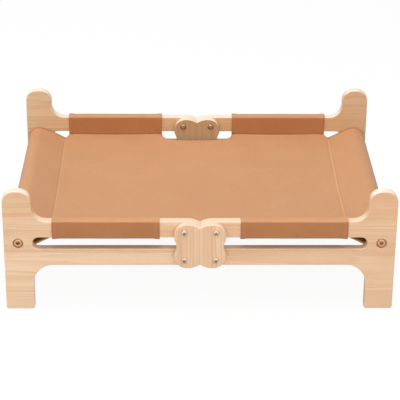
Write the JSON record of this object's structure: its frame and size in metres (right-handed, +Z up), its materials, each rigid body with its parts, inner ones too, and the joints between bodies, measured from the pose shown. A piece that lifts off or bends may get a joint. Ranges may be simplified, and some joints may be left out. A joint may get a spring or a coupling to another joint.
{
  "type": "cat hammock",
  "caption": "Raised wooden cat bed: slotted side frames with rounded horns, joined by lobed plates and round cross dowels, carry a sewn tan sling.",
  "frame": {"origin": "middle of the whole footprint, on the floor", "axes": "+X along the bed towards its right end, +Y towards the back frame, +Z up"},
  "size_m": [0.6, 0.4561, 0.2],
  "materials": {
    "frame_wood": "clear matt lacquer on pale softwood",
    "plate_wood": "clear matt lacquer on pale softwood",
    "dowel_wood": "sanded",
    "bronze_bolt": "antique bronze plating",
    "nickel_bolt": "nickel plating",
    "zinc_insert": "zinc plating",
    "sling_cloth": "smooth matt leatherette"
  },
  "bodies": {
    "root": {"front_left_frame_half": "frame_wood", "front_right_frame_half": "frame_wood", "back_left_frame_half": "frame_wood", "back_right_frame_half": "frame_wood", "front_joining_plate": "plate_wood", "back_joining_plate": "plate_wood", "left_cross_dowel": "dowel_wood", "right_cross_dowel": "dowel_wood", "leg_bolts": "bronze_bolt", "dowel_insert_nuts": "zinc_insert", "front_plate_bolts": "nickel_bolt", "back_plate_bolts": "nickel_bolt", "front_rail_insert_nuts": "zinc_insert", "back_rail_insert_nuts": "zinc_insert", "sling_bed": "sling_cloth", "left_end_pocket": "sling_cloth", "right_end_pocket": "sling_cloth", "front_left_rail_sleeve": "sling_cloth", "front_right_rail_sleeve": "sling_cloth", "back_left_rail_sleeve": "sling_cloth", "back_right_rail_sleeve": "sling_cloth"}
  },
  "joints": []
}
